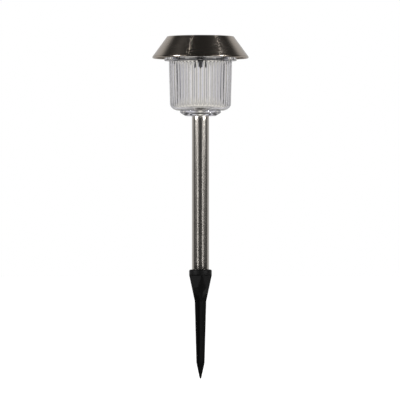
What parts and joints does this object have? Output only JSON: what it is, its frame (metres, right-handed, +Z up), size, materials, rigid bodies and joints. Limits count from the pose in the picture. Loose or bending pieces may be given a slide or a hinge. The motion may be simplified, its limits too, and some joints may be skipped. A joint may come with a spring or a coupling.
{
  "type": "solar garden light",
  "caption": "Stake light with a cone-shaped steel cap over a ribbed clear lens, on a slim tube with a pointed ground stake.",
  "frame": {"origin": "on the light's axis at the ground line, where the stake's neck meets the soil", "axes": "+Z up along the tube to the cap, +X along the travel of the switch"},
  "size_m": [0.12, 0.12, 0.4276],
  "materials": {
    "brushed_steel": "brushed stainless, spun",
    "polished_steel": "polished stainless tube",
    "zinc_plate": "zinc-plated",
    "clear_plastic": "clear moulded plastic",
    "panel_cover": "clear cover",
    "silicon": "dark blue silicon cells",
    "black_plastic": "moulded, fine texture",
    "black_rubber": "soft, matte",
    "board_green": "circuit board with solder mask",
    "battery_jacket": "plastic sleeve over the cell can",
    "copper_winding": "enamelled copper wire",
    "red_lead": "insulated wire",
    "black_lead": "insulated wire"
  },
  "bodies": {
    "stake": {"stake": "black_plastic"},
    "tube": {"tube": "polished_steel"},
    "lens": {"lens": "clear_plastic"},
    "head": {"cap_shell": "brushed_steel", "panel_frame": "black_plastic", "panel_board": "board_green", "solar_cells": "silicon", "panel_glass": "panel_cover", "panel_gasket": "black_rubber", "head_housing": "black_plastic", "housing_cover": "black_plastic", "battery_door": "black_plastic", "lens_seal": "black_rubber", "battery": "battery_jacket", "battery_plate": "zinc_plate", "battery_spring": "zinc_plate", "circuit_board": "board_green", "driver_chip": "black_plastic", "inductor": "copper_winding", "panel_lead_plus": "red_lead", "panel_lead_minus": "black_lead", "battery_lead_plus": "red_lead", "battery_lead_minus": "black_lead", "led": "clear_plastic", "led_collar": "black_plastic", "switch_body": "zinc_plate", "cap_screw_1": "zinc_plate", "cap_screw_2": "zinc_plate", "cap_screw_3": "zinc_plate", "cap_screw_4": "zinc_plate", "cover_screw_1": "zinc_plate", "cover_screw_2": "zinc_plate", "cover_screw_3": "zinc_plate", "door_screw_1": "zinc_plate", "door_screw_2": "zinc_plate", "board_screw_1": "zinc_plate", "board_screw_2": "zinc_plate"},
    "switch": {"switch_knob": "black_plastic"}
  },
  "joints": [
    {"name": "tube_pull", "type": "slide", "parent": "stake", "child": "tube", "axis": [0, 0, 1], "range_m": [0, 0.026]},
    {"name": "lens_pull", "type": "slide", "parent": "tube", "child": "lens", "axis": [0, 0, 1], "range_m": [0, 0.018]},
    {"name": "head_twist", "type": "hinge", "parent": "lens", "child": "head", "pos_m": [0, 0, 0.3044], "axis": [0, 0, 1], "range_deg": [0, 32]},
    {"name": "switch_slide", "type": "slide", "parent": "head", "child": "switch", "axis": [1, 0, 0], "range_m": [0, 0.0025]}
  ]
}
